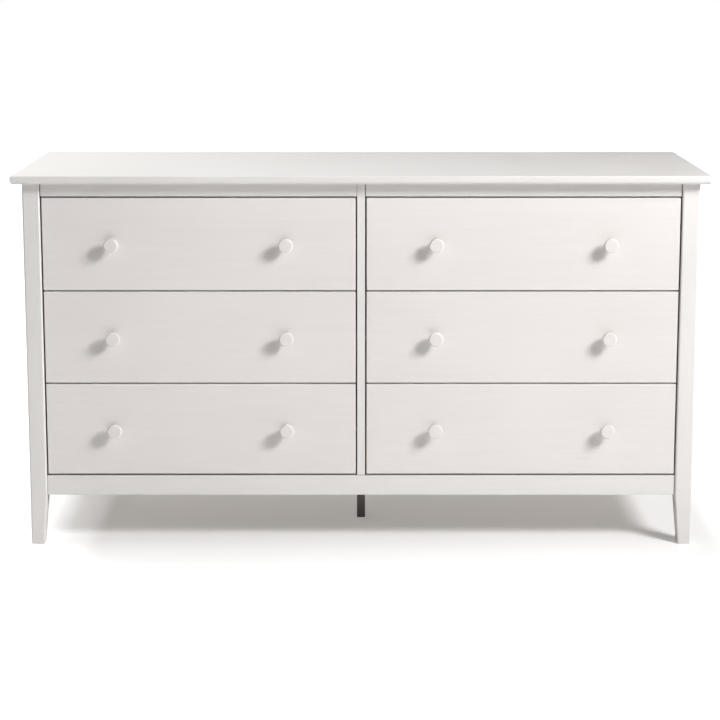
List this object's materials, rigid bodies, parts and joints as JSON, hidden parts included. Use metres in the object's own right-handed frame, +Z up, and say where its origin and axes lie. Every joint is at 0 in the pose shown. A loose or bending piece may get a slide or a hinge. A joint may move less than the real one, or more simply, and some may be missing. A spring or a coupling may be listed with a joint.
{
  "type": "dresser with drawers",
  "caption": "Low wide white-painted dresser on tapered legs, with side-by-side columns of inset slab-front drawers and round turned knobs.",
  "frame": {"origin": "on the floor, below the middle of the top board's outline", "axes": "+X to the right along the width as seen from the front, +Y towards the back so that the drawers open towards -Y, +Z up"},
  "size_m": [1.524, 0.457, 0.838],
  "materials": {
    "white_paint": "satin white paint on wood",
    "knob_paint": "satin white paint on turned wood",
    "drawer_wood": "clear-lacquered light hardwood",
    "plywood": "thin plain plywood",
    "dark_paint": "matt near-black paint on wood",
    "screw_steel": "zinc-plated screw heads"
  },
  "bodies": {
    "case": {"top_panel": "white_paint", "front_leg_left": "white_paint", "front_leg_right": "white_paint", "rear_leg_left": "white_paint", "rear_leg_right": "white_paint", "side_panel_left": "white_paint", "side_panel_right": "white_paint", "top_rail_left": "white_paint", "top_rail_right": "white_paint", "bottom_rail": "white_paint", "centre_divider": "white_paint", "centre_stretcher": "drawer_wood", "centre_leg": "dark_paint", "rear_top_rail": "drawer_wood", "rear_bottom_rail": "drawer_wood", "rear_centre_stile": "drawer_wood", "back_panel_left": "plywood", "back_panel_right": "plywood", "lower_left_runner_inner": "drawer_wood", "lower_left_runner_outer": "drawer_wood", "lower_right_runner_inner": "drawer_wood", "lower_right_runner_outer": "drawer_wood", "middle_left_runner_inner": "drawer_wood", "middle_left_runner_outer": "drawer_wood", "middle_right_runner_inner": "drawer_wood", "middle_right_runner_outer": "drawer_wood", "upper_left_runner_inner": "drawer_wood", "upper_left_runner_outer": "drawer_wood", "upper_right_runner_inner": "drawer_wood", "upper_right_runner_outer": "drawer_wood"},
    "lower_left_drawer": {"lower_left_drawer_front": "white_paint", "lower_left_drawer_box": "drawer_wood", "lower_left_drawer_bottom": "plywood", "lower_left_knob_left": "knob_paint", "lower_left_knob_right": "knob_paint"},
    "lower_right_drawer": {"lower_right_drawer_front": "white_paint", "lower_right_drawer_box": "drawer_wood", "lower_right_drawer_bottom": "plywood", "lower_right_knob_left": "knob_paint", "lower_right_knob_right": "knob_paint"},
    "middle_left_drawer": {"middle_left_drawer_front": "white_paint", "middle_left_drawer_box": "drawer_wood", "middle_left_drawer_bottom": "plywood", "middle_left_knob_left": "knob_paint", "middle_left_knob_right": "knob_paint"},
    "middle_right_drawer": {"middle_right_drawer_front": "white_paint", "middle_right_drawer_box": "drawer_wood", "middle_right_drawer_bottom": "plywood", "middle_right_knob_left": "knob_paint", "middle_right_knob_right": "knob_paint"},
    "upper_left_drawer": {"upper_left_drawer_front": "white_paint", "upper_left_drawer_box": "drawer_wood", "upper_left_drawer_bottom": "plywood", "upper_left_knob_left": "knob_paint", "upper_left_knob_right": "knob_paint"},
    "upper_right_drawer": {"upper_right_drawer_front": "white_paint", "upper_right_drawer_box": "drawer_wood", "upper_right_drawer_bottom": "plywood", "upper_right_knob_left": "knob_paint", "upper_right_knob_right": "knob_paint"}
  },
  "joints": [
    {"name": "lower_left_slide", "type": "slide", "parent": "case", "child": "lower_left_drawer", "axis": [0, -1, 0], "range_m": [0, 0.28]},
    {"name": "lower_right_slide", "type": "slide", "parent": "case", "child": "lower_right_drawer", "axis": [0, -1, 0], "range_m": [0, 0.28]},
    {"name": "middle_left_slide", "type": "slide", "parent": "case", "child": "middle_left_drawer", "axis": [0, -1, 0], "range_m": [0, 0.28]},
    {"name": "middle_right_slide", "type": "slide", "parent": "case", "child": "middle_right_drawer", "axis": [0, -1, 0], "range_m": [0, 0.28]},
    {"name": "upper_left_slide", "type": "slide", "parent": "case", "child": "upper_left_drawer", "axis": [0, -1, 0], "range_m": [0, 0.28]},
    {"name": "upper_right_slide", "type": "slide", "parent": "case", "child": "upper_right_drawer", "axis": [0, -1, 0], "range_m": [0, 0.28]}
  ]
}
